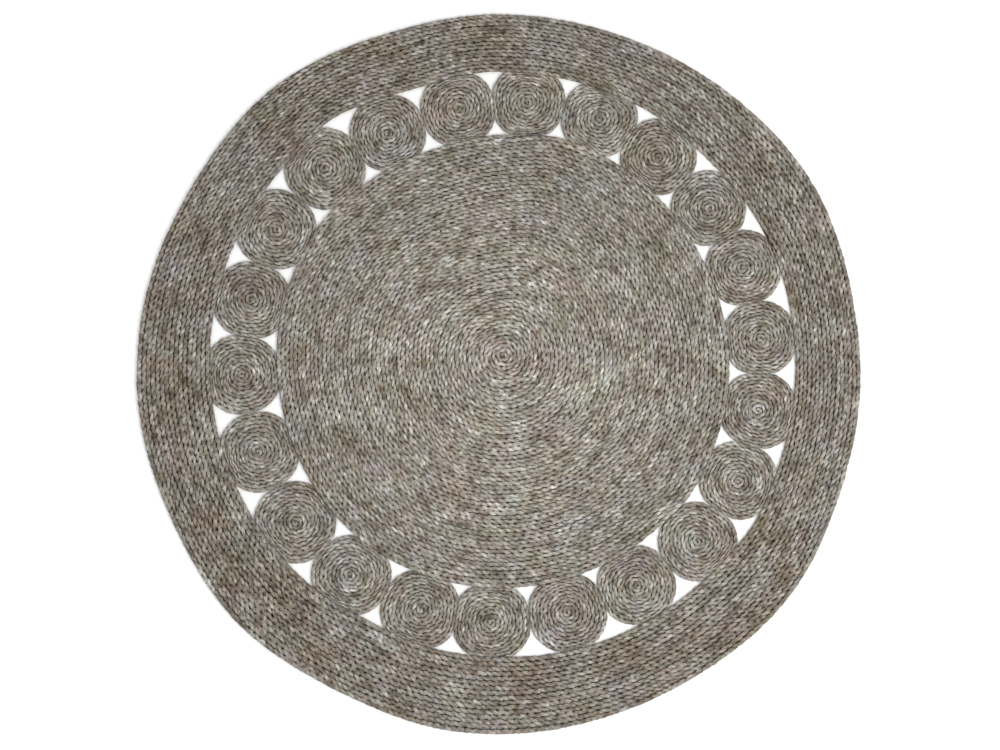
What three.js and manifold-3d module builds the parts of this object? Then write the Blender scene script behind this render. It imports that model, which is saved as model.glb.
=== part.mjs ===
// Round rug of two-ply seagrass rope: a coiled centre disc, a circle of coiled
// rosettes around it and a broad coiled ring outside, all sewn edge to edge.
// Millimetres, +Z up. The rug lies flat on z = 0 and its middle is x = y = 0.

import * as THREE from 'three';
import { mergeVertices } from 'three/addons/utils/BufferGeometryUtils.js';
import Module from 'manifold-3d';

const wasm = await Module();
wasm.setup();

// Driving sizes
const RUG_DIAMETER = 1500;
const CREST = 8;            // a row of rope at its crest
const VALLEY = 4.8;         // where two rows of rope meet
const SEAM_GAP = 0.6;       // parting between two pieces that are sewn together

// Rows of rope along the whole coil, and the direction in which its outer end points
const RING_COIL = { rows: 15.75, end: 120, taperIn: 0.03, taperOut: 0.03 };
const DISC_COIL = { rows: 55, end: 77, taperIn: 0.8, taperOut: 0.04 };
const ROSETTE_COIL = { rows: 10.5, taperIn: 0.8, taperOut: 0.12 };

// Places of the round edges, measured from the middle of the outer edge
const OUTER_EDGE = { x: 0, y: 0, radius: RUG_DIAMETER / 2 };
const HOLE_EDGE = { x: 4.5, y: 18, radius: 609.5 };
const DISC_EDGE = { x: 5, y: 24, radius: 471 };
const DISC_EYE = { x: 7, y: 37 };
const ROSETTE_MIDDLE = { x: 5, y: 21 };

// Hand-sewn edges swell and draw in: waves per turn, height, direction of a peak
const OUTER_SWELL = [
  { waves: 2, height: 3.2, peak: -9 },
  { waves: 3, height: 1.7, peak: 44 },
  { waves: 4, height: 2.6, peak: 39 },
  { waves: 5, height: 2.0, peak: -32 },
  { waves: 6, height: 1.1, peak: 26 },
  { waves: 7, height: 2.0, peak: 22 },
  { waves: 8, height: 2.3, peak: -3 },
  { waves: 11, height: 1.5, peak: -4 },
];
const HOLE_SWELL = [
  { waves: 2, height: 2.5, peak: -42 },
  { waves: 4, height: 1.1, peak: 38 },
];
const DISC_SWELL = [
  { waves: 2, height: 1.0, peak: 86 },
  { waves: 3, height: 1.7, peak: -40 },
  { waves: 4, height: 2.7, peak: -22 },
  { waves: 5, height: 1.2, peak: 7 },
];

// Short stretches where an edge is pushed out or drawn in: direction, how far it
// moves outwards, and over how many degrees to each side
const HOLE_PULLS = [
  { peak: 45, height: -5, spread: 7 },
  { peak: 107.5, height: -10, spread: 7 },
  { peak: 125, height: 8, spread: 6 },
  { peak: 242.5, height: -6, spread: 7 },
  { peak: 328, height: 6, spread: 7 },
];
const DISC_PULLS = [
  { peak: 76, height: 3, spread: 6 },
  { peak: 103, height: -5, spread: 14 },
  { peak: 142, height: 5, spread: 6 },
  { peak: 324, height: 5, spread: 6 },
];

// A row for each rosette: its direction, how far it lies outside the middle of the
// band between disc and ring, and its radius where nothing presses on it
const ROSETTES = [
  { angle: 5.5, out: -2, radius: 79 },
  { angle: 21.5, out: 0, radius: 80 },
  { angle: 37, out: -2, radius: 79 },
  { angle: 53, out: -2, radius: 80 },
  { angle: 68.5, out: 4, radius: 81 },
  { angle: 84.5, out: 4, radius: 79 },
  { angle: 100, out: 0, radius: 80 },
  { angle: 116.5, out: -3, radius: 80 },
  { angle: 132.5, out: 5, radius: 85 },
  { angle: 149.5, out: 4, radius: 84 },
  { angle: 166, out: -3, radius: 82 },
  { angle: 182.5, out: 4, radius: 84 },
  { angle: 200, out: 1, radius: 85 },
  { angle: 217.5, out: 4, radius: 86 },
  { angle: 234.5, out: 2, radius: 84 },
  { angle: 251.5, out: 2, radius: 84 },
  { angle: 267.5, out: -1, radius: 84 },
  { angle: 284.5, out: -4, radius: 84 },
  { angle: 301, out: -3, radius: 83 },
  { angle: 317.5, out: 6, radius: 83 },
  { angle: 333.5, out: 3, radius: 82 },
  { angle: 349.5, out: 0, radius: 82 },
];
const CORNER_SHARPNESS = 32;  // higher turns tighter from a pressed side to a free one

// The loose last row of the disc leaves a slit beside it
const SLIT = { angle: 91.2, inside: 13, length: 19, width: 4.8 };

// Facets: the sag that a chord may have on a row, and the points on each rim
const CHORD_SAG = { ring: 2.6, disc: 2.6, rosette: 2.4 };
const RIM_POINTS = { ring: 108, hole: 88, disc: 66, rosette: 24 };
const FEWEST_POINTS = 7;
const TINY = 1e-9;

const FULL_TURN = 2 * Math.PI;
const radians = THREE.MathUtils.degToRad;
const { lerp, smoothstep } = THREE.MathUtils;

const swell = (table, angle) => table.reduce(
  (sum, { waves, height, peak }) => sum + height * Math.cos(waves * (angle - radians(peak))),
  0,
);
const pulls = (table, angle) => table.reduce((sum, { peak, height, spread }) => {
  const away = Math.acos(Math.cos(angle - radians(peak))) / radians(spread);
  return sum + height * Math.exp(-(away ** 2));
}, 0);
const outerRadius = (angle) => OUTER_EDGE.radius + swell(OUTER_SWELL, angle);
const holeRadius = (angle) => HOLE_EDGE.radius
  + swell(HOLE_SWELL, angle) + pulls(HOLE_PULLS, angle);
const discRadius = (angle) => DISC_EDGE.radius
  + swell(DISC_SWELL, angle) + pulls(DISC_PULLS, angle);

const towards = (from, angle, distance) => ({
  x: from.x + distance * Math.cos(angle),
  y: from.y + distance * Math.sin(angle),
});

// How far one can go from a point in one direction before crossing a round edge
function reach(from, angle, edge, edgeRadius, longest = RUG_DIAMETER) {
  const past = (distance) => {
    const { x, y } = towards(from, angle, distance);
    return Math.hypot(x - edge.x, y - edge.y)
      - edgeRadius(Math.atan2(y - edge.y, x - edge.x));
  };
  let near = 0;
  let far = longest;
  if (past(near) * past(far) > 0) return longest;
  while (far - near > 0.001) {
    const middle = (near + far) / 2;
    if (past(near) * past(middle) > 0) near = middle;
    else far = middle;
  }
  return near;
}

// One length of rope coiled clockwise. Along it t counts turns, so t and t + 1 lie
// side by side; radiusAt gives the place across the band, from 0 inside to 1 outside.
// Both ends of the rope taper to nothing.
function coil({ centre, radiusAt, rows, end, taperIn, taperOut }) {
  const direction = (t) => radians(end) + FULL_TURN * (rows - t);
  const width = (t) => smoothstep(Math.min(t / taperIn, (rows - t) / taperOut), 0, 1);
  const place = (t, across, z) => {
    let before = 0;
    let total = 0;
    for (let row = t - Math.floor(t + TINY); row < rows + TINY; row++) {
      total += width(row);
      if (row < t - 0.5) before += width(row);
    }
    const own = t < rows ? width(t) : 0;
    const radius = radiusAt((before + across * own) / total, direction(t));
    return { ...towards(centre, direction(t), radius), z, radius };
  };
  return {
    rows,
    valley: (t) => place(t, 0, VALLEY),
    crest: (t) => place(t, 0.5, lerp(VALLEY, CREST, Math.sqrt(width(t)))),
  };
}

// Turn counts at which a rope is sampled: more of them where its turns are wide
function sampleTurns({ rows, valley }, sag, rimPoints, holePoints) {
  const stops = [1, rows, rows + 1];
  const turns = [0];
  for (let t = 0; t < rows + 1;) {
    const stop = stops.find((each) => each > t + TINY);
    let points = Math.PI * Math.sqrt(valley(t).radius / (2 * sag));
    if (t >= rows) points = rimPoints;
    if (t < 1) points = Math.max(points, holePoints);
    const steps = Math.ceil((stop - t) * Math.max(points, FEWEST_POINTS) - TINY);
    t = steps > 1 ? t + (stop - t) / steps : stop;
    turns.push(t);
  }
  return turns;
}

// A closed solid with a flat underside and a raised rib for each row of rope
function ribbedGeometry(rope, { sag, rimPoints, holePoints = 0 }) {
  const { rows, valley, crest } = rope;
  const turns = sampleTurns(rope, sag, rimPoints, holePoints);
  const positions = [];
  const indices = [];
  const known = new Map();

  const vertex = ({ x, y, z }) => {
    const key = [x, y, z].map((value) => value.toFixed(2)).join();
    if (!known.has(key)) {
      known.set(key, known.size);
      positions.push(x, y, z);
    }
    return known.get(key);
  };
  const line = (point, from, to) => turns
    .filter((t) => t > from - TINY && t < to + TINY)
    .map((t) => ({ t, index: vertex(point(t)) }));
  const moved = (points, by) => points.map(({ t, index }) => ({ t: t + by, index }));
  const onFloor = (t) => ({ ...valley(t), z: 0 });

  const triangle = (a, b, c) => {
    if (a !== b && b !== c && c !== a) indices.push(a, c, b);
  };
  // Joins two lines of points that run side by side, in the order of their turn counts
  const strip = (left, right) => {
    let i = 0;
    let j = 0;
    while (i + 1 < left.length || j + 1 < right.length) {
      const advanceLeft = j + 1 === right.length
        || (i + 1 < left.length && left[i + 1].t <= right[j + 1].t);
      const next = advanceLeft ? left[i + 1] : right[j + 1];
      triangle(left[i].index, right[j].index, next.index);
      if (advanceLeft) i++;
      else j++;
    }
  };

  const crests = line(crest, 0, rows);
  const rim = line(valley, rows, rows + 1);
  const rimFoot = line(onFloor, rows, rows + 1);
  strip(line(valley, 0, rows), crests);
  strip(crests, moved(line(valley, 1, rows + 1), -1));
  strip(rim, rimFoot);

  if (holePoints) {
    const holeFoot = line(onFloor, 0, 1);
    strip(holeFoot, line(valley, 0, 1));
    const sameWay = holeFoot.slice(1)
      .map(({ t, index }) => ({ t: t + Math.ceil(rows - t), index }))
      .sort((a, b) => a.t - b.t);
    strip(rimFoot, [...sameWay, ...moved(sameWay.slice(0, 1), 1)]);
  } else {
    const middle = vertex(onFloor(0));
    strip(rimFoot, [{ t: 0, index: middle }]);
  }

  const geometry = new THREE.BufferGeometry();
  geometry.setAttribute('position', new THREE.Float32BufferAttribute(positions, 3));
  geometry.setIndex(indices);
  return geometry;
}

// Distance from a rosette's middle to its edge: round where free, pressed where it
// meets the ring, the disc and the rosettes on both sides
function rosetteEdge(rosette, neighbours) {
  return (angle) => {
    const limits = [
      rosette.radius,
      reach(rosette, angle, HOLE_EDGE, holeRadius) - SEAM_GAP,
      reach(rosette, angle, DISC_EDGE, discRadius, HOLE_EDGE.radius) - SEAM_GAP,
    ];
    for (const other of neighbours) {
      const dx = other.x - rosette.x;
      const dy = other.y - rosette.y;
      const apart = Math.hypot(dx, dy);
      const seam = (apart + (rosette.radius ** 2 - other.radius ** 2) / apart) / 2;
      const facing = Math.cos(angle - Math.atan2(dy, dx));
      if (facing > 0) limits.push((seam - SEAM_GAP / 2) / facing);
    }
    const sum = limits.reduce((total, limit) => total + limit ** -CORNER_SHARPNESS, 0);
    return sum ** (-1 / CORNER_SHARPNESS);
  };
}

function asManifold(geometry) {
  const bare = geometry.clone();
  bare.deleteAttribute('normal');
  bare.deleteAttribute('uv');
  const merged = mergeVertices(bare);
  return new wasm.Manifold(new wasm.Mesh({
    numProp: 3,
    vertProperties: merged.getAttribute('position').array,
    triVerts: Uint32Array.from(merged.getIndex().array),
  }));
}

function cutAway(geometry, tool) {
  const { vertProperties, triVerts } = asManifold(geometry).subtract(asManifold(tool)).getMesh();
  const cut = new THREE.BufferGeometry();
  cut.setAttribute('position', new THREE.Float32BufferAttribute(vertProperties, 3));
  cut.setIndex(Array.from(triVerts));
  return cut;
}

function slitGeometry() {
  const halfLength = SLIT.length / 2;
  const halfWidth = SLIT.width / 2;
  const shape = new THREE.Shape();
  shape.moveTo(-halfLength, 0);
  shape.quadraticCurveTo(-halfLength / 2, -halfWidth * 2, halfLength, 0);
  shape.quadraticCurveTo(halfLength / 2, halfWidth * 2, -halfLength, 0);
  const geometry = new THREE.ExtrudeGeometry(shape, {
    depth: 2 * CREST,
    bevelEnabled: false,
    curveSegments: 6,
  });
  const angle = radians(SLIT.angle);
  const at = towards(DISC_EDGE, angle, discRadius(angle) - SLIT.inside);
  geometry.rotateZ(angle + Math.PI / 2);
  geometry.translate(at.x, at.y, -CREST / 2);
  return geometry;
}

function piece(name, geometry, color) {
  const material = new THREE.MeshStandardMaterial({ color, roughness: 0.9, metalness: 0 });
  const mesh = new THREE.Mesh(geometry, material);
  mesh.name = name;
  return mesh;
}

function outerRing() {
  const holeCorners = Math.cos(Math.PI / RIM_POINTS.hole);
  const rope = coil({
    ...RING_COIL,
    centre: HOLE_EDGE,
    radiusAt: (share, angle) => lerp(
      holeRadius(angle) / holeCorners,
      reach(HOLE_EDGE, angle, OUTER_EDGE, outerRadius),
      share,
    ),
  });
  const geometry = ribbedGeometry(rope, {
    sag: CHORD_SAG.ring,
    rimPoints: RIM_POINTS.ring,
    holePoints: RIM_POINTS.hole,
  });
  return piece('outer_ring', geometry, 0x7c7365);
}

function centreDisc() {
  const rope = coil({
    ...DISC_COIL,
    centre: DISC_EYE,
    radiusAt: (share, angle) => share * reach(DISC_EYE, angle, DISC_EDGE, discRadius),
  });
  const geometry = ribbedGeometry(rope, { sag: CHORD_SAG.disc, rimPoints: RIM_POINTS.disc });
  return piece('centre_disc', cutAway(geometry, slitGeometry()), 0x8b8677);
}

function rosettePieces() {
  const placed = ROSETTES.map(({ angle, out, radius }) => {
    const way = radians(angle);
    const inside = reach(ROSETTE_MIDDLE, way, DISC_EDGE, discRadius);
    const outside = reach(ROSETTE_MIDDLE, way, HOLE_EDGE, holeRadius);
    return { ...towards(ROSETTE_MIDDLE, way, (inside + outside) / 2 + out), angle, radius };
  });
  return placed.map((rosette, index) => {
    const neighbours = [placed.at(index - 1), placed[(index + 1) % placed.length]];
    const edge = rosetteEdge(rosette, neighbours);
    const rope = coil({
      ...ROSETTE_COIL,
      centre: rosette,
      end: rosette.angle + (index % 2) * 180,
      // The turns are round in the middle and take on the pressed outline outwards
      radiusAt: (share, angle) => share * lerp(rosette.radius, edge(angle), share ** 2),
    });
    const geometry = ribbedGeometry(rope, {
      sag: CHORD_SAG.rosette,
      rimPoints: RIM_POINTS.rosette,
    });
    const number = String(index + 1).padStart(2, '0');
    return piece(`rosette_${number}`, geometry, 0x77746a);
  });
}

const rug = new THREE.Group();
rug.add(outerRing(), centreDisc(), ...rosettePieces());

const middle = new THREE.Box3().setFromObject(rug).getCenter(new THREE.Vector3());
rug.position.set(-middle.x, -middle.y, 0);

export default rug;
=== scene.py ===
"""Round seagrass rug: every row of its two-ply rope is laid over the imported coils.

Sizes in the tables are millimetres, measured from the middle of the rug's outer edge,
and directions are degrees. Meshes are made in metres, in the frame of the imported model.
"""

import math
from collections import namedtuple

import bpy
import numpy as np
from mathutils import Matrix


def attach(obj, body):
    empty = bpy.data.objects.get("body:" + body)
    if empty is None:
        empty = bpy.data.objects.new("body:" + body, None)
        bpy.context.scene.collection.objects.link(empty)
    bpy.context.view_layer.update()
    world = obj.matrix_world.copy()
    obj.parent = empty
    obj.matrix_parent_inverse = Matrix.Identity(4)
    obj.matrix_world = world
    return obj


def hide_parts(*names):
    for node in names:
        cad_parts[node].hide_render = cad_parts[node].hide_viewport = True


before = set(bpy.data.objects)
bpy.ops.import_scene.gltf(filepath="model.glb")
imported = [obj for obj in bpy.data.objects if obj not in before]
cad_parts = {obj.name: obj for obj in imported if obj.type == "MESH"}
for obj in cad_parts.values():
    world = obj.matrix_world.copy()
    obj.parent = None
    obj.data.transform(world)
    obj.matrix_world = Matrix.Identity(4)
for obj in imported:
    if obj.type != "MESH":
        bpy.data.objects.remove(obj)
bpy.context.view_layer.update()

MM = 0.001
DECIMETRE = 100
FULL_TURN = 2 * math.pi
TINY = 1e-9
RANDOM_SEED = 20

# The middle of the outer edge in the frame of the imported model
RUG_SHIFT = (3.6958, 1.7596)

# The rug's width and height, and the gap between two coils that meet
RUG_DIAMETER = 1500
THICKNESS = 8
SEAM_GAP = 0.6

# Coils: rows of rope, direction of the outer end, turns over which the rope starts and
# ends, and how many turns stand open on their inner side
RING_COIL = {"rows": 15.75, "end": 120, "taper_in": 0.03, "taper_out": 0.03, "open_turns": 1}
DISC_COIL = {"rows": 55, "end": 77, "taper_in": 0.8, "taper_out": 0.04}
ROSETTE_COIL = {"rows": 10.5, "taper_in": 0.8, "taper_out": 0.12}

# Ropes: length in which the two strands turn once round each other, share of its row
# that the rope fills, thickness, share of the straying below, share of the thickness
# below which a gap's painted shade starts, and lightness of the painted shade in the
# groove between the strands
RING_ROPE = {
    "lay": 33.2,
    "filled": 1.07,
    "thick": 8,
    "astray": 0.95,
    "dark_below": 0.84,
    "groove": 0.72,
}
DISC_ROPE = {
    "lay": 34.0,
    "filled": 1.07,
    "thick": 8,
    "astray": 0.6,
    "dark_below": 0.8,
    "groove": 0.66,
}
ROSETTE_ROPE = {
    "lay": 32,
    "filled": 1.03,
    "thick": 6.8,
    "astray": 0.7,
    "dark_below": 0.79,
    "groove": 0.68,
}

# Places of the round edges
OUTER_EDGE = {"x": 0, "y": 0, "radius": RUG_DIAMETER / 2}
HOLE_EDGE = {"x": 4.5, "y": 18, "radius": 609.5}
DISC_EDGE = {"x": 5, "y": 24, "radius": 471}
DISC_EYE = {"x": 7, "y": 37}
ROSETTE_MIDDLE = {"x": 5, "y": 21}

# Swells of the edges: waves in one turn, their height, and the direction of a peak
Swell = namedtuple("Swell", "waves height peak")
OUTER_SWELLS = [
    Swell(2, 3.2, -9),
    Swell(3, 1.7, 44),
    Swell(4, 2.6, 39),
    Swell(5, 2.0, -32),
    Swell(6, 1.1, 26),
    Swell(7, 2.0, 22),
    Swell(8, 2.3, -3),
    Swell(11, 1.5, -4),
]
HOLE_SWELLS = [Swell(2, 2.5, -42), Swell(4, 1.1, 38)]
DISC_SWELLS = [Swell(2, 1.0, 86), Swell(3, 1.7, -40), Swell(4, 2.7, -22), Swell(5, 1.2, 7)]

# Short stretches that are pushed out or drawn in: direction, distance, degrees each side
Pull = namedtuple("Pull", "peak distance spread")
HOLE_PULLS = [
    Pull(45, -5, 7),
    Pull(107.5, -10, 7),
    Pull(125, 8, 6),
    Pull(242.5, -6, 7),
    Pull(328, 6, 7),
]
DISC_PULLS = [Pull(76, 3, 6), Pull(103, -5, 14), Pull(142, 5, 6), Pull(324, 5, 6)]

# Rosettes: direction, distance outside the middle of their band, radius when unpressed
Rosette = namedtuple("Rosette", "angle out radius")
ROSETTES = [
    Rosette(5.5, -2, 79),
    Rosette(21.5, 0, 80),
    Rosette(37, -2, 79),
    Rosette(53, -2, 80),
    Rosette(68.5, 4, 81),
    Rosette(84.5, 4, 79),
    Rosette(100, 0, 80),
    Rosette(116.5, -3, 80),
    Rosette(132.5, 5, 85),
    Rosette(149.5, 4, 84),
    Rosette(166, -3, 82),
    Rosette(182.5, 4, 84),
    Rosette(200, 1, 85),
    Rosette(217.5, 4, 86),
    Rosette(234.5, 2, 84),
    Rosette(251.5, 2, 84),
    Rosette(267.5, -1, 84),
    Rosette(284.5, -4, 84),
    Rosette(301, -3, 83),
    Rosette(317.5, 6, 83),
    Rosette(333.5, 3, 82),
    Rosette(349.5, 0, 82),
]

# A pressed edge: how sharply it turns, and the least part of a direction that faces a
# neighbour for the seam to matter there
CORNER_SHARPNESS = 32
LEAST_FACING = 0.05

# The slit beside the loose last row of the disc, and the end of that row, which stands
# off and thins out over its last turns
SLIT = {"angle": 91.2, "inside": 12.5, "half_length": 10, "open": 7.0, "fade": 28}
LOOSE_END = {"angle": 86, "spread": 10, "gap": 1.6, "loose_turns": 0.07, "slack": 0.3}

# How finely edges and coils are followed
EDGE_DIRECTIONS = 1440
ROSETTE_DIRECTIONS = 720
EDGE_HALVINGS = 24
STEPS_PER_TURN = 360
STEPS_PER_LAY = 7.5

# The rope's section, per strand radius: how far each strand sits from the middle, the
# directions of its corners, and how high the groove between the two stays
STRAND_OFFSET = 0.5
CORNERS = (66, 28, -28, -66)
GROOVE_DEPTH = 0.92

# Heights, as shares of its thickness, at which the rope is widest, and below which its painted
# shade between rows is darkest
WIDEST_AT = 0.62
DARKEST_BELOW = 0.63

# How evenly wide the rope stays where one strand lies on the other, from 0 to 1, and how
# far above and below its middle, and how far sideways, it is pressed into the next row
WIDTH_EVENNESS = 0.38
PRESSED_ABOVE = 0.2
PRESSED_BELOW = 0.42
PRESSED_REACH = 1.1

# No section shrinks to nothing where a rope tapers
LEAST_HALF_WIDTH = 0.1
LEAST_TAPER = 0.002

# No painted shade of a gap on the underside, and little of it on the sides that stand open
UNDERSIDE_FROM = 0.55
OPEN_SIDE_LIGHT = 0.7

# How unevenly the rope was spun and laid: amount, and length over which it changes
Wander = namedtuple("Wander", "amount period")
TWIST_WANDER = Wander(1.5, 65)
EVENNESS_WANDER = Wander(0.3, 25)
SIDE_WANDER = Wander(0.55, 55)
ROW_WANDER = Wander(0.5, 230)
STRAND_WANDER = Wander(0.24, 30)

# Turns at which the disc and the ring are parted into pieces, and the pieces' widths
DISC_PARTED_AT = 38.5
RING_PARTED_AT = 8
DISC_OUTER_BAND = 141
RING_INNER_BAND = 71
RING_OUTER_BAND = 69

# Where each coil's pattern starts, in decimetres of rope, so that no two are alike
DISC_PATTERN = 0
RING_PATTERN = 2000
ROSETTE_PATTERN = 4000
ROSETTE_PATTERN_STEP = 100

# Margin round each half of the map that is seen from above or from below
MAP_MARGIN = 0.005

# Colours of single strands, from dark brown to pale straw
STRANDS = [
    (0.3, (0.29, 0.24, 0.19)),
    (0.4, (0.34, 0.305, 0.255)),
    (0.48, (0.375, 0.35, 0.305)),
    (0.56, (0.385, 0.375, 0.335)),
    (0.68, (0.45, 0.435, 0.385)),
]

# Broad patches of brown, grey and pale blue grey, for each kind of rope
PATCH_STOPS = (0.34, 0.5, 0.66)
RING_PATCHES = [(0.573, 0.537, 0.527), (0.66, 0.65, 0.684), (0.691, 0.704, 0.763)]
DISC_PATCHES = [(0.71, 0.695, 0.716), (0.766, 0.768, 0.818), (0.782, 0.808, 0.868)]
ROSETTE_PATCHES = [(0.679, 0.653, 0.664), (0.737, 0.739, 0.79), (0.758, 0.785, 0.856)]

# Tints that come and go over the rug: mauve to green, and straw to blue grey
MAUVE_GREEN = [(0.32, (1.025, 0.98, 1.0)), (0.68, (0.975, 1.02, 1.0))]
STRAW_BLUE = [(0.32, (1.0, 1.0, 0.94)), (0.68, (1.0, 1.0, 1.06))]

# Noise over the rug: how fine it is for each metre, its detail, and where it starts
Cloud = namedtuple("Cloud", "scale detail shift")
PATCH_CLOUD = Cloud(8.0, 2.0, 0.0)
MAUVE_GREEN_CLOUD = Cloud(14.0, 4.0, 31.0)
STRAW_BLUE_CLOUD = Cloud(14.0, 4.0, 77.0)
BLOTCH_CLOUD = Cloud(55.0, 1.0, 0.0)

# Noise along the rope: how fine it is for each decimetre of rope, and its detail
Grain = namedtuple("Grain", "along detail")
ROW_GRAIN = Grain(1.1, 2.0)
HUE_GRAIN = Grain(2.2, 1.0)
STRAND_GRAIN = Grain(6.5, 1.5)
SECOND_STRAND_SHIFT = 40.0

# Noise round the rope: how fine it is along and across, and its detail
RoundGrain = namedtuple("RoundGrain", "along across detail")
BLADE_GRAIN = RoundGrain(9.0, 4.0, 2.0)
FIBRE_GRAIN = RoundGrain(14.0, 16.0, 2.0)

# Tones: the noise that is darkest, its lightness, the noise that is lightest, its lightness
Tone = namedtuple("Tone", "low darkest high lightest")
ROW_TONE = Tone(0.34, 0.68, 0.66, 1.34)
STRAND_TONE = Tone(0.34, 0.52, 0.66, 1.46)
BLOTCH_TONE = Tone(0.3, 0.84, 0.7, 1.18)
BLADE_TONE = Tone(0.3, 0.56, 0.7, 1.48)
FIBRE_TONE = Tone(0.3, 0.56, 0.7, 1.46)

# Dark tones are a little browner than the rest, light ones a little bluer
DARK_HUE = (1.03, 1.0, 0.945)
LIGHT_HUE = (0.995, 1.0, 1.005)

# Painted shade in the groove between the two strands, and painted light on the strands' tops
# beside it
GROOVE_SHADE = (1.0, 0.96, 0.9)
GROOVE_HALF_WIDTH = 0.42
STRAND_TOP_LIGHT = (1.03, 1.03, 1.03)

# Lightness at distances from the middle of the rug, in metres
LIGHTNESS_FROM_MIDDLE = [(0.08, 1.16), (0.28, 1.1), (0.42, 0.95), (0.48, 1.0)]

# Painted shade deep between two rows, and no shade at all
GAP_SHADE = (0.09, 0.06, 0.035)
UNCHANGED = (1.0, 1.0, 1.0)

# A dry and dull surface, with blades and fibres in slight relief
SMOOTHEST = 0.72
ROUGHEST = 0.92
SPECULAR = 0.06
BLADE_RELIEF = 1.5
RELIEF_STRENGTH = 0.7
RELIEF_HEIGHT = 0.6 * MM

# Stage: a pale floor in an even white room, with one large soft lamp
FLOOR_HALF_SIZE = 30
FLOOR_COLOUR = (0.97, 0.97, 0.97, 1)
FLOOR_ROUGHNESS = 0.9
WHITE = (1, 1, 1, 1)
ROOM_STRENGTH = 0.86
LAMP_DIAMETER = 2.4
LAMP_WATTS = 72
LAMP_PLACE = (2.1, -1.2, 3.0)

# Camera, in metres: straight above, where the picture's width shows VIEW_WIDTH
VIEW_WIDTH = 2.0767
CAMERA_PLACE = (0.0027, -0.002, 5.0)
SENSOR_WIDTH = 36
FARTHEST_SEEN = 100


def swell(swells, angle):
    return sum(
        each.height * np.cos(each.waves * (angle - math.radians(each.peak)))
        for each in swells
    )


def pull(pulls, angle):
    total = 0
    for each in pulls:
        away = np.arccos(np.cos(angle - math.radians(each.peak))) / math.radians(each.spread)
        total = total + each.distance * np.exp(-(away**2))
    return total


def outer_radius(angle):
    return OUTER_EDGE["radius"] + swell(OUTER_SWELLS, angle)


def hole_radius(angle):
    return HOLE_EDGE["radius"] + swell(HOLE_SWELLS, angle) + pull(HOLE_PULLS, angle)


def disc_radius(angle):
    return DISC_EDGE["radius"] + swell(DISC_SWELLS, angle) + pull(DISC_PULLS, angle)


def reach(start, angle, edge, edge_radius, longest=RUG_DIAMETER):
    """How far one can go from a point in each direction before crossing a round edge."""
    angle = np.atleast_1d(np.asarray(angle, float))

    def past(distance):
        x = start["x"] + distance * np.cos(angle) - edge["x"]
        y = start["y"] + distance * np.sin(angle) - edge["y"]
        return np.hypot(x, y) - edge_radius(np.arctan2(y, x))

    near = np.zeros_like(angle)
    far = np.full_like(angle, longest)
    never = past(near) * past(far) > 0
    for _ in range(EDGE_HALVINGS):
        middle = (near + far) / 2
        same_side = past(near) * past(middle) > 0
        near = np.where(same_side, middle, near)
        far = np.where(same_side, far, middle)
    return np.where(never, longest, near)


def round_table(function, count=EDGE_DIRECTIONS):
    """A function of direction, tabled once round and read back by interpolation."""
    angles = np.arange(count) * FULL_TURN / count
    values = function(angles)
    return lambda angle: np.interp(angle, angles, values, period=FULL_TURN)


def smoothstep(x):
    x = np.clip(x, 0, 1)
    return x * x * (3 - 2 * x)


def coil_width(coil, t):
    """Share of its full width that the rope has after t turns: it tapers at both ends."""
    tapering = np.minimum(t / coil["taper_in"], (coil["rows"] - t) / coil["taper_out"])
    return smoothstep(tapering)


def coil_path(coil, t):
    """Centre line x, y and row width where a coil has made t turns from its middle."""
    row = np.floor(t + TINY)
    rows_out = (t - row)[:, None] + np.arange(math.ceil(coil["rows"]) + 1)
    widths = np.where(rows_out < coil["rows"] + TINY, coil_width(coil, rows_out), 0)
    total = widths.sum(1)
    before = np.where(np.arange(widths.shape[1]) < row[:, None], widths, 0).sum(1)
    own = coil_width(coil, t)
    angle = math.radians(coil["end"]) + FULL_TURN * (coil["rows"] - t)
    radius_at = coil["radius_at"]
    radii = [radius_at((before + part * own) / total, angle) for part in (0, 0.5, 1)]
    if "pushed" in coil:
        last = t > coil["rows"] - 1
        radii = [coil["pushed"](radius, angle, last) for radius in radii]
    inner, radius, outer = radii
    x = coil["centre"]["x"] + radius * np.cos(angle)
    y = coil["centre"]["y"] + radius * np.sin(angle)
    return x, y, outer - inner


def ring_coil():
    """The ring's coil, between the hole and the rug's outer edge."""
    hole = round_table(hole_radius)
    rim = round_table(lambda angle: reach(HOLE_EDGE, angle, OUTER_EDGE, outer_radius))

    def radius_at(share, angle):
        return hole(angle) + share * (rim(angle) - hole(angle))

    return {**RING_COIL, **RING_ROPE, "centre": HOLE_EDGE, "radius_at": radius_at}


def disc_coil():
    """The disc's coil, whose last row parts from the others at the slit and its loose end."""
    rim = round_table(lambda angle: reach(DISC_EYE, angle, DISC_EDGE, disc_radius))
    row = DISC_EDGE["radius"] / DISC_COIL["rows"]
    slit_last = row - SLIT["inside"] + SLIT["open"] / 2

    def radius_at(share, angle):
        return share * rim(angle)

    def pushed(radius, angle, last):
        away = np.arccos(np.cos(angle - math.radians(SLIT["angle"])))
        slit = np.exp(-((away * DISC_EDGE["radius"] / SLIT["half_length"]) ** 2))
        away = np.arccos(np.cos(angle - math.radians(LOOSE_END["angle"])))
        parting = np.exp(-((away / math.radians(LOOSE_END["spread"])) ** 4))
        inside = rim(angle) - radius
        fading = np.exp(-np.maximum(inside - row, 0) / SLIT["fade"])
        others = slit * (slit_last - SLIT["open"]) - parting * LOOSE_END["gap"]
        moved = np.where(last, slit * slit_last * np.minimum(inside / row, 1), others * fading)
        return radius + moved

    shape = {"centre": DISC_EYE, "radius_at": radius_at, "pushed": pushed}
    return {**DISC_COIL, **DISC_ROPE, **LOOSE_END, **shape}


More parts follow.
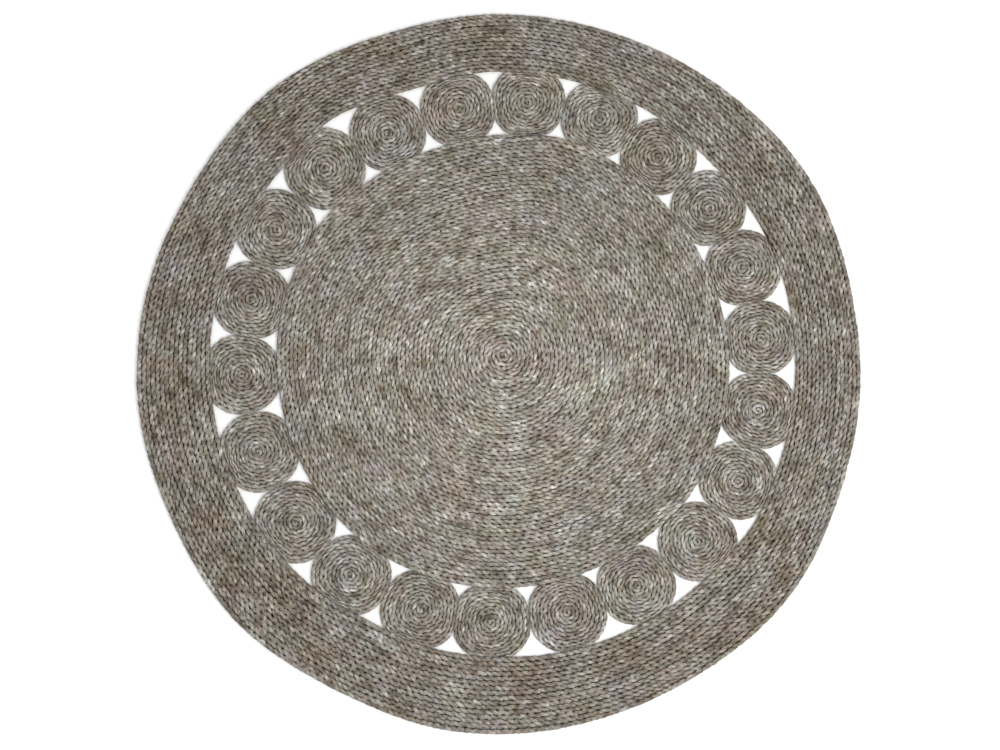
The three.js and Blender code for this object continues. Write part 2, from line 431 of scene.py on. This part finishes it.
def rosette_edge(rosette, neighbours):
    """Distance from a rosette's middle to its edge, pressed where it meets others."""

    def edge(angle):
        limits = [
            np.full_like(angle, rosette["radius"]),
            reach(rosette, angle, HOLE_EDGE, hole_radius) - SEAM_GAP,
            reach(rosette, angle, DISC_EDGE, disc_radius, HOLE_EDGE["radius"]) - SEAM_GAP,
        ]
        for other in neighbours:
            dx = other["x"] - rosette["x"]
            dy = other["y"] - rosette["y"]
            apart = math.hypot(dx, dy)
            more = (rosette["radius"] ** 2 - other["radius"] ** 2) / apart
            seam = (apart + more) / 2 - SEAM_GAP / 2
            facing = np.cos(angle - math.atan2(dy, dx))
            to_seam = seam / np.maximum(facing, LEAST_FACING)
            limits.append(np.where(facing > LEAST_FACING, to_seam, RUG_DIAMETER))
        total = sum(limit**-CORNER_SHARPNESS for limit in limits)
        return total ** (-1 / CORNER_SHARPNESS)

    return round_table(edge, ROSETTE_DIRECTIONS)


def placed_rosette(rosette):
    """A rosette in its place between the disc and the hole."""
    way = math.radians(rosette.angle)
    inside = reach(ROSETTE_MIDDLE, way, DISC_EDGE, disc_radius)[0]
    outside = reach(ROSETTE_MIDDLE, way, HOLE_EDGE, hole_radius)[0]
    distance = (inside + outside) / 2 + rosette.out
    return {
        "x": ROSETTE_MIDDLE["x"] + distance * math.cos(way),
        "y": ROSETTE_MIDDLE["y"] + distance * math.sin(way),
        "radius": rosette.radius,
        "angle": rosette.angle,
    }


def rosette_coils():
    """The rosettes' coils, whose rows grow from a round eye to the pressed edge."""
    placed = [placed_rosette(rosette) for rosette in ROSETTES]
    coils = []
    for index, rosette in enumerate(placed):
        neighbours = [placed[index - 1], placed[(index + 1) % len(placed)]]
        edge = rosette_edge(rosette, neighbours)

        def radius_at(share, angle, free=rosette["radius"], edge=edge):
            return share * (free + (edge(angle) - free) * share**2)

        # Every other rope ends on the side towards the middle of the rug
        end = rosette["angle"] + (index % 2) * 180
        shape = {"end": end, "centre": rosette, "radius_at": radius_at}
        coils.append({**ROSETTE_COIL, **ROSETTE_ROPE, **shape})
    return coils


def wander(rng, along, wandering):
    """Smooth random values along a line, up to an amount either way."""
    count = int(along[-1] / wandering.period) + 3
    knots = rng.uniform(-1, 1, count)
    place = along / wandering.period
    index = place.astype(int)
    share = smoothstep(place - index)
    return wandering.amount * (knots[index] * (1 - share) + knots[index + 1] * share)


def strand_section():
    """The rope's section round two strands side by side, from one groove to the other."""
    half = [(0, GROOVE_DEPTH * math.sqrt(1 - STRAND_OFFSET**2))]
    for direction in CORNERS:
        way = math.radians(direction)
        half.append((STRAND_OFFSET + math.cos(way), math.sin(way)))
    return np.array(half + [(-x, -y) for x, y in half])


SECTION = strand_section()
POINTS_ROUND = len(SECTION)


def centre_line(coil):
    """Even steps along a coil's rope: x, y, row width, turns made and length so far."""
    fine = np.linspace(0, coil["rows"], int(coil["rows"] * STEPS_PER_TURN) + 1)
    x, y, width = coil_path(coil, fine)
    along = np.concatenate([[0], np.cumsum(np.hypot(np.diff(x), np.diff(y)))])
    count = int(along[-1] / coil["lay"] * STEPS_PER_LAY)
    length = np.linspace(0, along[-1], count + 1)
    x, y, width, turns = (np.interp(length, along, each) for each in (x, y, width, fine))
    return x, y, width, turns, length


def outward_from(x, y):
    """Directions square to a coil's line that point out of the coil."""
    tangent_x, tangent_y = np.gradient(x), np.gradient(y)
    size = np.hypot(tangent_x, tangent_y)
    return np.stack([-tangent_y / size, tangent_x / size], 1)


def twisted_sections(coil, length, rng):
    """The section at each step, turned as the strands turn: sideways and upwards."""
    turned = FULL_TURN * length / coil["lay"] + wander(rng, length, TWIST_WANDER)
    turned = turned + rng.uniform(0, FULL_TURN)
    first = 1 + wander(rng, length, STRAND_WANDER)
    second = 1 + wander(rng, length, STRAND_WANDER)
    thick = np.where(SECTION[:, 0] > 0, first[:, None], second[:, None])
    across = SECTION[:, 0] * thick
    upright = SECTION[:, 1] * thick
    cos, sin = np.cos(turned)[:, None], np.sin(turned)[:, None]
    return across * cos - upright * sin, across * sin + upright * cos


def pressed_sideways(coil, width, turns, length, sideways, upwards, rng):
    """Sections as wide as their row, pressed into the next one and a little astray."""
    widest = SECTION.max()
    view = np.abs(sideways).max(1)[:, None]
    evenness = WIDTH_EVENNESS + wander(rng, length, EVENNESS_WANDER)[:, None]
    evened = widest + (view - widest) * evenness
    loose = smoothstep((turns - coil["rows"]) / coil.get("loose_turns", 1) + 1)
    fullness = coil["filled"] * (1 - coil.get("slack", 0) * loose)
    half_width = np.maximum((fullness * width)[:, None] / 2, LEAST_HALF_WIDTH)
    pressed_height = widest * np.where(upwards > 0, PRESSED_ABOVE, PRESSED_BELOW)
    bulge = np.maximum(1 - (upwards / pressed_height) ** 2, 0) ** 0.5
    pressed = bulge * PRESSED_REACH * half_width
    sideways = sideways * half_width / evened
    sideways = np.sign(sideways) * np.maximum(np.abs(sideways), pressed)
    astray = wander(rng, length, SIDE_WANDER) + wander(rng, length, ROW_WANDER)
    return sideways + (coil["astray"] * coil_width(coil, turns) * astray)[:, None]


def heights(coil, turns, upwards):
    """Sections as high as the rope is thick, resting on the floor."""
    swelling = np.sqrt(np.maximum(coil_width(coil, turns), LEAST_TAPER))[:, None]
    over = coil["thick"] * (1 - WIDEST_AT) * swelling
    under = coil["thick"] * WIDEST_AT * swelling
    height = upwards / SECTION.max() * np.where(upwards > 0, over, under) + under
    return np.maximum(height, 0)


def unshaded_share(coil, turns, sideways, upwards):
    """How far each point is kept from a gap's painted shade: 1 on the underside, 0 in a gap."""
    outer_side = (turns > coil["rows"] - 1)[:, None] & (sideways > 0)
    inner_side = (turns < coil.get("open_turns", 0))[:, None] & (sideways < 0)
    unshaded = np.where(outer_side | inner_side, OPEN_SIDE_LIGHT, 0.0)
    return np.where(upwards < -UNDERSIDE_FROM * SECTION.max(), 1.0, unshaded)


def rope_rows(coil, rng):
    """A whole coil's rope: sections of points, and each one's length, turns and plan area."""
    x, y, width, turns, length = centre_line(coil)
    outward = outward_from(x, y)
    sideways, upwards = twisted_sections(coil, length, rng)
    sideways = pressed_sideways(coil, width, turns, length, sideways, upwards, rng)
    points = np.empty((len(length), POINTS_ROUND, 3))
    points[:, :, 0] = x[:, None] + outward[:, :1] * sideways + RUG_SHIFT[0]
    points[:, :, 1] = y[:, None] + outward[:, 1:] * sideways + RUG_SHIFT[1]
    points[:, :, 2] = heights(coil, turns, upwards)
    return {
        "points": points * MM,
        "length": length,
        "turns": turns,
        "area": np.append(width[:-1] * np.diff(length), 0),
        "unshaded": unshaded_share(coil, turns, sideways, upwards),
    }


def tube_mesh(name, points):
    """A closed mesh through rings of points, with each corner's point, ring and place in it."""
    steps = len(points) - 1
    step, side = np.meshgrid(np.arange(steps), np.arange(POINTS_ROUND), indexing="ij")
    step, side = step.ravel(), side.ravel()
    ring_of = np.stack([step, step, step + 1, step + 1], 1)
    place_in = np.stack([side, side + 1, side + 1, side], 1)
    cap = np.arange(POINTS_ROUND)
    first_cap, last_cap = np.zeros_like(cap), np.full_like(cap, steps)
    ring_of = np.concatenate([ring_of.ravel(), first_cap, last_cap])
    place_in = np.concatenate([place_in.ravel(), cap[::-1], cap])
    corners = ring_of * POINTS_ROUND + place_in % POINTS_ROUND
    totals = np.append(np.full(len(step), 4), [POINTS_ROUND, POINTS_ROUND])

    mesh = bpy.data.meshes.new(name)
    mesh.vertices.add(points.size // 3)
    mesh.vertices.foreach_set("co", points.ravel())
    mesh.loops.add(len(corners))
    mesh.loops.foreach_set("vertex_index", corners)
    mesh.polygons.add(len(totals))
    mesh.polygons.foreach_set("loop_start", np.append(0, np.cumsum(totals)[:-1]))
    mesh.polygons.foreach_set("loop_total", totals)
    mesh.update(calc_edges=True)
    return mesh, corners, totals, ring_of, place_in


def plan_map(mesh, points, corners, totals):
    """A map seen from above on its left half, and from below on its right half."""
    flat = points.reshape(-1, 3)
    low = flat.min(0)
    size = (flat.max(0) - low)[:2].max()
    normals = np.empty(len(totals) * 3)
    mesh.polygons.foreach_get("normal", normals)
    below = np.repeat(normals.reshape(-1, 3)[:, 2] < 0, totals)
    place = (flat[corners][:, :2] - low[:2]) / size
    across = place[:, 0] * (0.5 - 2 * MAP_MARGIN) + MAP_MARGIN + 0.5 * below
    up = place[:, 1] * (1 - 2 * MAP_MARGIN) + MAP_MARGIN
    return np.stack([across, up], 1)


def rope_piece(name, rows, first, last, material, pattern):
    """A closed piece of the rope between two counts of turns, and its plan area."""
    chosen = np.flatnonzero((rows["turns"] >= first) & (rows["turns"] <= last))
    if chosen[-1] + 1 < len(rows["turns"]):
        chosen = np.append(chosen, chosen[-1] + 1)
    points = rows["points"][chosen]
    mesh, corners, totals, ring_of, place_in = tube_mesh(name, points)
    unshaded = mesh.attributes.new("unshaded", "FLOAT", "POINT")
    unshaded.data.foreach_set("value", rows["unshaded"][chosen].ravel())

    # Along the rope in decimetres, and once round its two strands
    along = rows["length"][chosen][ring_of] / DECIMETRE + pattern
    rope_map = np.stack([along, place_in / POINTS_ROUND], 1)
    mesh.uv_layers.new(name="rope").data.foreach_set("uv", rope_map.ravel())
    bake_map = plan_map(mesh, points, corners, totals)
    mesh.uv_layers.new(name="OFBake").data.foreach_set("uv", bake_map.ravel())

    mesh.shade_smooth()
    mesh.materials.append(material)
    piece = bpy.data.objects.new(name, mesh)
    bpy.context.scene.collection.objects.link(piece)
    return piece, rows["area"][chosen[:-1]].sum() * MM * MM


def add_node(tree, kind, inputs=None, **settings):
    node = tree.nodes.new(kind)
    for key, value in settings.items():
        setattr(node, key, value)
    for key, value in (inputs or {}).items():
        if isinstance(value, bpy.types.NodeSocket):
            tree.links.new(value, node.inputs[key])
        else:
            node.inputs[key].default_value = value
    return node


def calc(tree, operation, first, second=0.0):
    node = add_node(tree, "ShaderNodeMath", {0: first, 1: second}, operation=operation)
    return node.outputs[0]


def noise(tree, vector, detail):
    inputs = {"Vector": vector, "Scale": 1.0, "Detail": detail, "Roughness": 0.5}
    return add_node(tree, "ShaderNodeTexNoise", inputs).outputs["Fac"]


def ramp(tree, value, stops):
    node = add_node(tree, "ShaderNodeValToRGB", {"Fac": value})
    while len(node.color_ramp.elements) < len(stops):
        node.color_ramp.elements.new(0.5)
    for element, (place, colour) in zip(node.color_ramp.elements, stops):
        element.position = place
        element.color = (*colour, 1)
    return node.outputs["Color"]


def times(tree, first, second):
    """Two colours multiplied."""
    node = add_node(tree, "ShaderNodeMix", data_type="RGBA", blend_type="MULTIPLY")
    node.inputs[0].default_value = 1.0
    tree.links.new(first, node.inputs[6])
    tree.links.new(second, node.inputs[7])
    return node.outputs[2]


def scaled(colour, amount):
    return tuple(amount * part for part in colour)


def tone_stops(tone):
    """A tone's two stops, browner where it is dark and bluer where it is light."""
    return [
        (tone.low, scaled(DARK_HUE, tone.darkest)),
        (tone.high, scaled(LIGHT_HUE, tone.lightest)),
    ]


def noise_along(tree, along, grain, other=0.0):
    """Noise that changes along the rope, and with the other value where one is given."""
    values = {0: calc(tree, "MULTIPLY", along, grain.along), 1: other}
    place = add_node(tree, "ShaderNodeCombineXYZ", values).outputs[0]
    return noise(tree, place, grain.detail)


def noise_round(tree, along, angle, grain):
    """Noise that changes along the rope and round it."""
    values = {
        0: calc(tree, "MULTIPLY", along, grain.along),
        1: calc(tree, "MULTIPLY", calc(tree, "COSINE", angle), grain.across),
        2: calc(tree, "MULTIPLY", calc(tree, "SINE", angle), grain.across),
    }
    place = add_node(tree, "ShaderNodeCombineXYZ", values).outputs[0]
    return noise(tree, place, grain.detail)


def noise_over(tree, place, cloud):
    """Noise that changes from place to place over the rug."""
    values = {0: place, 1: (cloud.scale,) * 3, 2: (cloud.shift,) * 3}
    wide = add_node(tree, "ShaderNodeVectorMath", values, operation="MULTIPLY_ADD")
    return noise(tree, wide.outputs[0], cloud.detail)


def gap_light(tree, height, rope_kind):
    """Painted shade that deepens down between two rows, and spares what stands open."""
    thick = rope_kind["thick"] * MM
    dark_below = rope_kind["dark_below"] * thick
    inputs = {"Value": height, "From Min": DARKEST_BELOW * thick, "From Max": dark_below}
    settings = {"interpolation_type": "SMOOTHSTEP"}
    deep = add_node(tree, "ShaderNodeMapRange", inputs, **settings).outputs[0]
    unshaded = add_node(tree, "ShaderNodeAttribute", attribute_name="unshaded").outputs["Fac"]
    light = calc(tree, "MAXIMUM", deep, unshaded)
    return ramp(tree, light, [(0.0, GAP_SHADE), (1.0, UNCHANGED)])


def rope_material(name, patches, rope_kind):
    """Dry twisted grass: strands of many colours, fine fibres, painted shade between rows and in
    grooves.
    """
    material = bpy.data.materials.new(name)
    material.use_nodes = True
    tree = material.node_tree
    shader = tree.nodes["Principled BSDF"]

    rope = add_node(tree, "ShaderNodeUVMap", uv_map="rope").outputs["UV"]
    parts = add_node(tree, "ShaderNodeSeparateXYZ", {"Vector": rope}).outputs
    along, around = parts[0], parts[1]
    place = add_node(tree, "ShaderNodeNewGeometry").outputs["Position"]
    height = add_node(tree, "ShaderNodeSeparateXYZ", {"Vector": place}).outputs[2]
    to_place = add_node(tree, "ShaderNodeVectorMath", {0: place}, operation="LENGTH")
    from_middle = to_place.outputs[1]

    # Blades wind with their strand; fibres run straight, because they are twisted back
    wound = calc(tree, "MULTIPLY", around, FULL_TURN)
    twist = calc(tree, "MULTIPLY", along, FULL_TURN * DECIMETRE / rope_kind["lay"])
    straight = calc(tree, "SUBTRACT", wound, twist)
    from_groove = calc(tree, "ABSOLUTE", calc(tree, "SINE", wound))
    second = calc(tree, "GREATER_THAN", around, 0.5)
    strand = calc(tree, "MULTIPLY", second, SECOND_STRAND_SHIFT)
    blades = noise_round(tree, along, wound, BLADE_GRAIN)
    fibres = noise_round(tree, along, straight, FIBRE_GRAIN)

    colour = ramp(tree, noise_along(tree, along, HUE_GRAIN, strand), STRANDS)
    # Painted shade in the groove between the two strands, and painted light on their tops
    groove = scaled(GROOVE_SHADE, rope_kind["groove"])
    for value, stops in (
        (noise_over(tree, place, PATCH_CLOUD), list(zip(PATCH_STOPS, patches))),
        (noise_over(tree, place, MAUVE_GREEN_CLOUD), MAUVE_GREEN),
        (noise_over(tree, place, STRAW_BLUE_CLOUD), STRAW_BLUE),
        (noise_along(tree, along, ROW_GRAIN), tone_stops(ROW_TONE)),
        (noise_along(tree, along, STRAND_GRAIN, strand), tone_stops(STRAND_TONE)),
        (noise_over(tree, place, BLOTCH_CLOUD), tone_stops(BLOTCH_TONE)),
        (blades, tone_stops(BLADE_TONE)),
        (fibres, tone_stops(FIBRE_TONE)),
        (from_groove, [(0.0, groove), (GROOVE_HALF_WIDTH, STRAND_TOP_LIGHT)]),
        (from_middle, [(at, scaled(UNCHANGED, light)) for at, light in LIGHTNESS_FROM_MIDDLE]),
    ):
        colour = times(tree, colour, ramp(tree, value, stops))
    # Painted shade, darker lower down between two rows, except on the underside and open sides
    colour = times(tree, colour, gap_light(tree, height, rope_kind))
    tree.links.new(colour, shader.inputs["Base Color"])

    dullness = {"Value": fibres, "To Min": SMOOTHEST, "To Max": ROUGHEST}
    dull = add_node(tree, "ShaderNodeMapRange", dullness).outputs[0]
    tree.links.new(dull, shader.inputs["Roughness"])
    shader.inputs["Specular IOR Level"].default_value = SPECULAR

    relief = calc(tree, "ADD", fibres, calc(tree, "MULTIPLY", blades, BLADE_RELIEF))
    inputs = {"Height": relief, "Strength": RELIEF_STRENGTH, "Distance": RELIEF_HEIGHT}
    bump = add_node(tree, "ShaderNodeBump", inputs).outputs[0]
    tree.links.new(bump, shader.inputs["Normal"])
    return material


MATERIALS = {
    "ring_rope": rope_material("ring_rope", RING_PATCHES, RING_ROPE),
    "disc_rope": rope_material("disc_rope", DISC_PATCHES, DISC_ROPE),
    "rosette_rope": rope_material("rosette_rope", ROSETTE_PATCHES, ROSETTE_ROPE),
}


def dress(name, rows, first, last, node, slot, pattern, band=None):
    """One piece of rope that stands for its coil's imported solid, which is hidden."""
    piece, area = rope_piece(name, rows, first, last, MATERIALS[slot], pattern)
    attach(piece, "root")
    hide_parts(node)


def dress_disc(rng):
    rows = rope_rows(disc_coil(), rng)
    kind = ("centre_disc", "disc_rope", DISC_PATTERN)
    dress("disc_rope_inner", rows, 0, DISC_PARTED_AT, *kind)
    dress("disc_rope_outer", rows, DISC_PARTED_AT, DISC_COIL["rows"], *kind, band=DISC_OUTER_BAND)


def dress_ring(rng):
    rows = rope_rows(ring_coil(), rng)
    kind = ("outer_ring", "ring_rope", RING_PATTERN)
    dress("ring_rope_inner", rows, 0, RING_PARTED_AT, *kind, band=RING_INNER_BAND)
    dress("ring_rope_outer", rows, RING_PARTED_AT, RING_COIL["rows"], *kind, band=RING_OUTER_BAND)


def dress_rosettes(rng):
    for index, coil in enumerate(rosette_coils()):
        number = f"{index + 1:02d}"
        rows = rope_rows(coil, rng)
        pattern = ROSETTE_PATTERN + ROSETTE_PATTERN_STEP * index
        name = "rosette_rope_" + number
        dress(name, rows, 0, coil["rows"], "rosette_" + number, "rosette_rope", pattern)


def build_rug():
    rng = np.random.default_rng(RANDOM_SEED)
    dress_disc(rng)
    dress_ring(rng)
    dress_rosettes(rng)


def build_floor():
    mesh = bpy.data.meshes.new("floor")
    size = FLOOR_HALF_SIZE
    corners = [(-size, -size, 0), (size, -size, 0), (size, size, 0), (-size, size, 0)]
    mesh.from_pydata(corners, [], [(0, 1, 2, 3)])
    material = bpy.data.materials.new("floor")
    material.use_nodes = True
    shader = material.node_tree.nodes["Principled BSDF"]
    shader.inputs["Base Color"].default_value = FLOOR_COLOUR
    shader.inputs["Roughness"].default_value = FLOOR_ROUGHNESS
    mesh.materials.append(material)
    floor = bpy.data.objects.new("floor", mesh)
    bpy.context.scene.collection.objects.link(floor)


def build_light():
    world = bpy.data.worlds.new("studio")
    world.use_nodes = True
    room = world.node_tree.nodes["Background"]
    room.inputs["Color"].default_value = WHITE
    room.inputs["Strength"].default_value = ROOM_STRENGTH
    bpy.context.scene.world = world
    bpy.context.scene.view_settings.view_transform = "Standard"

    lamp = bpy.data.lights.new("soft_box", "AREA")
    lamp.shape = "DISK"
    lamp.size = LAMP_DIAMETER
    lamp.energy = LAMP_WATTS
    soft_box = bpy.data.objects.new("soft_box", lamp)
    soft_box.location = LAMP_PLACE
    aim = -soft_box.location
    soft_box.rotation_euler = aim.to_track_quat("-Z", "Y").to_euler()
    bpy.context.scene.collection.objects.link(soft_box)


def build_camera():
    """A camera whose picture is VIEW_WIDTH wide at the top of the rug."""
    camera = bpy.data.cameras.new("camera")
    camera.sensor_width = SENSOR_WIDTH
    to_rug = CAMERA_PLACE[2] - THICKNESS * MM
    camera.lens = camera.sensor_width * to_rug / VIEW_WIDTH
    camera.clip_end = FARTHEST_SEEN
    viewer = bpy.data.objects.new("camera", camera)
    viewer.location = CAMERA_PLACE
    bpy.context.scene.collection.objects.link(viewer)
    bpy.context.scene.camera = viewer


build_camera()
build_floor()
build_light()
build_rug()
